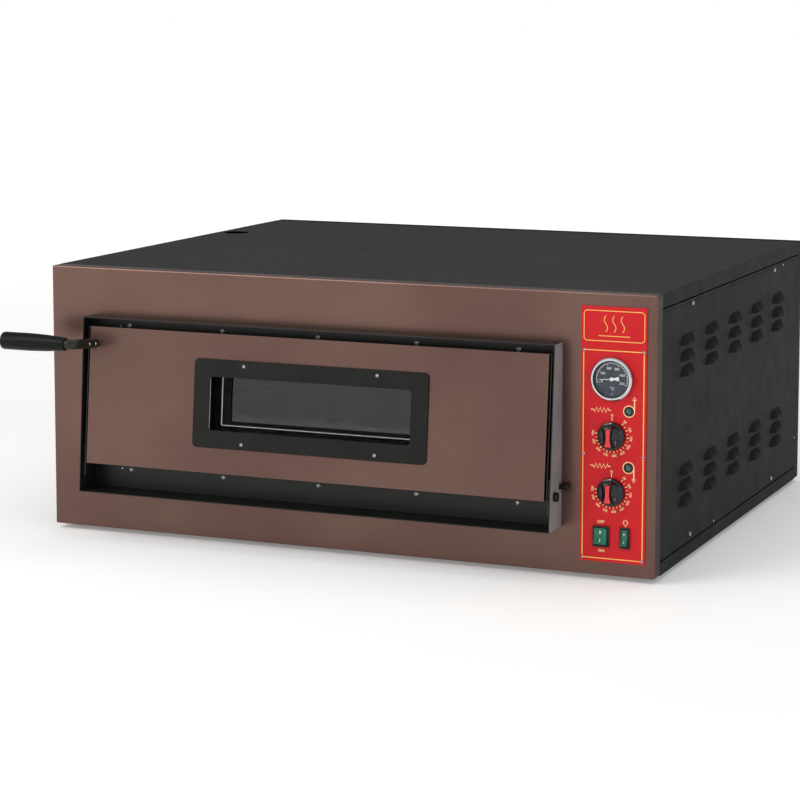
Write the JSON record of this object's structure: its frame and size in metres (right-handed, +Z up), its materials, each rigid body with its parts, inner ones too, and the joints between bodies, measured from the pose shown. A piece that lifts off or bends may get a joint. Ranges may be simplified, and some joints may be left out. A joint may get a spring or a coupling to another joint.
{
  "type": "countertop pizza oven",
  "caption": "Low wide electric pizza oven with a drop-down window door in a raised collar, side handle, red control strip and louvred sides.",
  "frame": {"origin": "middle of the bounding box's base, on the surface that the feet stand on", "axes": "+X to the viewer's right facing the door, -Y out of the front, +Z up"},
  "size_m": [1.0598, 0.9919, 0.428],
  "materials": {
    "bronze_metallic": "satin bronze metallic enamel on sheet steel",
    "satin_black": "satin black enamel on sheet steel",
    "grip_black": "black moulded phenolic",
    "switch_black": "black moulded plastic",
    "knob_black": "black moulded plastic",
    "gland_black": "black moulded nylon",
    "fascia_red": "red printed fascia plate",
    "bezel_chrome": "polished chrome ring",
    "zinc_steel": "bright zinc plated steel",
    "stainless": "brushed stainless sheet",
    "aluminised_steel": "aluminised steel sheet",
    "dial_slate": "slate grey dial and steel can",
    "needle_white": "white lacquered pointer",
    "glass_clear": "clear glass",
    "glass_smoked": "dark tempered oven glass",
    "lamp_green": "dark green translucent lens",
    "rocker_green": "green translucent rocker",
    "refractory_stone": "pressed refractory stone, coarse and dry",
    "rock_wool": "mineral wool slab",
    "heater_sheath": "oxidised heater sheath",
    "rack_steel": "oxidised mild steel bar",
    "rubber": "black rubber",
    "ceramic_white": "white steatite and plastic"
  },
  "bodies": {
    "casing": {"base_pan": "satin_black", "foot_front_left": "rubber", "foot_back_left": "rubber", "foot_front_right": "rubber", "foot_back_right": "rubber", "front_panel": "bronze_metallic", "top_cover": "satin_black", "side_panel_left": "satin_black", "side_panel_right": "satin_black", "back_panel": "satin_black", "inner_partition": "aluminised_steel", "chamber_liner": "aluminised_steel", "stone_rack": "rack_steel", "baking_stone_left": "refractory_stone", "baking_stone_right": "refractory_stone", "lower_element_left": "heater_sheath", "lower_element_right": "heater_sheath", "upper_element_left": "heater_sheath", "upper_element_right": "heater_sheath", "insulation_blanket": "rock_wool", "insulation_back": "rock_wool", "chamber_lamp_holder": "ceramic_white", "chamber_lamp_glass": "glass_clear", "mouth_collar": "satin_black", "hinge_bolt_left": "zinc_steel", "hinge_bolt_right": "zinc_steel", "door_stop_left": "satin_black", "door_stop_right": "satin_black", "control_fascia": "fascia_red", "thermometer_case": "dial_slate", "thermometer_bezel": "bezel_chrome", "thermometer_lens": "glass_clear", "upper_thermostat": "ceramic_white", "lower_thermostat": "ceramic_white", "upper_lamp": "lamp_green", "lower_lamp": "lamp_green", "main_switch_body": "switch_black", "light_switch_body": "switch_black", "cable_gland": "gland_black", "terminal_block": "ceramic_white"},
    "door": {"door_frame": "satin_black", "door_skin": "bronze_metallic", "door_insulation": "rock_wool", "door_inner_panel": "stainless", "window_frame": "satin_black", "window_glass_outer": "glass_smoked", "window_sleeve": "stainless", "window_glass_inner": "glass_smoked", "handle_rod": "satin_black", "handle_grip": "grip_black", "handle_screw_1": "zinc_steel", "handle_screw_2": "zinc_steel"},
    "upper_knob": {"upper_knob": "knob_black"},
    "lower_knob": {"lower_knob": "knob_black"},
    "thermometer_needle": {"thermometer_needle": "needle_white"},
    "main_rocker": {"main_rocker": "rocker_green"},
    "light_rocker": {"light_rocker": "rocker_green"}
  },
  "joints": [
    {"name": "door_hinge", "type": "hinge", "parent": "casing", "child": "door", "pos_m": [-0.0181, -0.41802, 0.127], "axis": [1, 0, 0], "range_deg": [0, 90]},
    {"name": "upper_knob_turn", "type": "hinge", "parent": "casing", "child": "upper_knob", "pos_m": [0.4546, -0.38582, 0.2181], "axis": [0, 1, 0], "range_deg": [0, 300]},
    {"name": "lower_knob_turn", "type": "hinge", "parent": "casing", "child": "lower_knob", "pos_m": [0.4546, -0.38582, 0.1346], "axis": [0, 1, 0], "range_deg": [0, 300]},
    {"name": "needle_swing", "type": "hinge", "parent": "casing", "child": "thermometer_needle", "pos_m": [0.4546, -0.38922, 0.3027], "axis": [0, 1, 0], "range_deg": [-10, 205]},
    {"name": "main_rocker_tip", "type": "hinge", "parent": "casing", "child": "main_rocker", "pos_m": [0.4394, -0.38582, 0.067], "axis": [1, 0, 0], "range_deg": [0, 18]},
    {"name": "light_rocker_tip", "type": "hinge", "parent": "casing", "child": "light_rocker", "pos_m": [0.4764, -0.38582, 0.067], "axis": [1, 0, 0], "range_deg": [0, 18]}
  ]
}
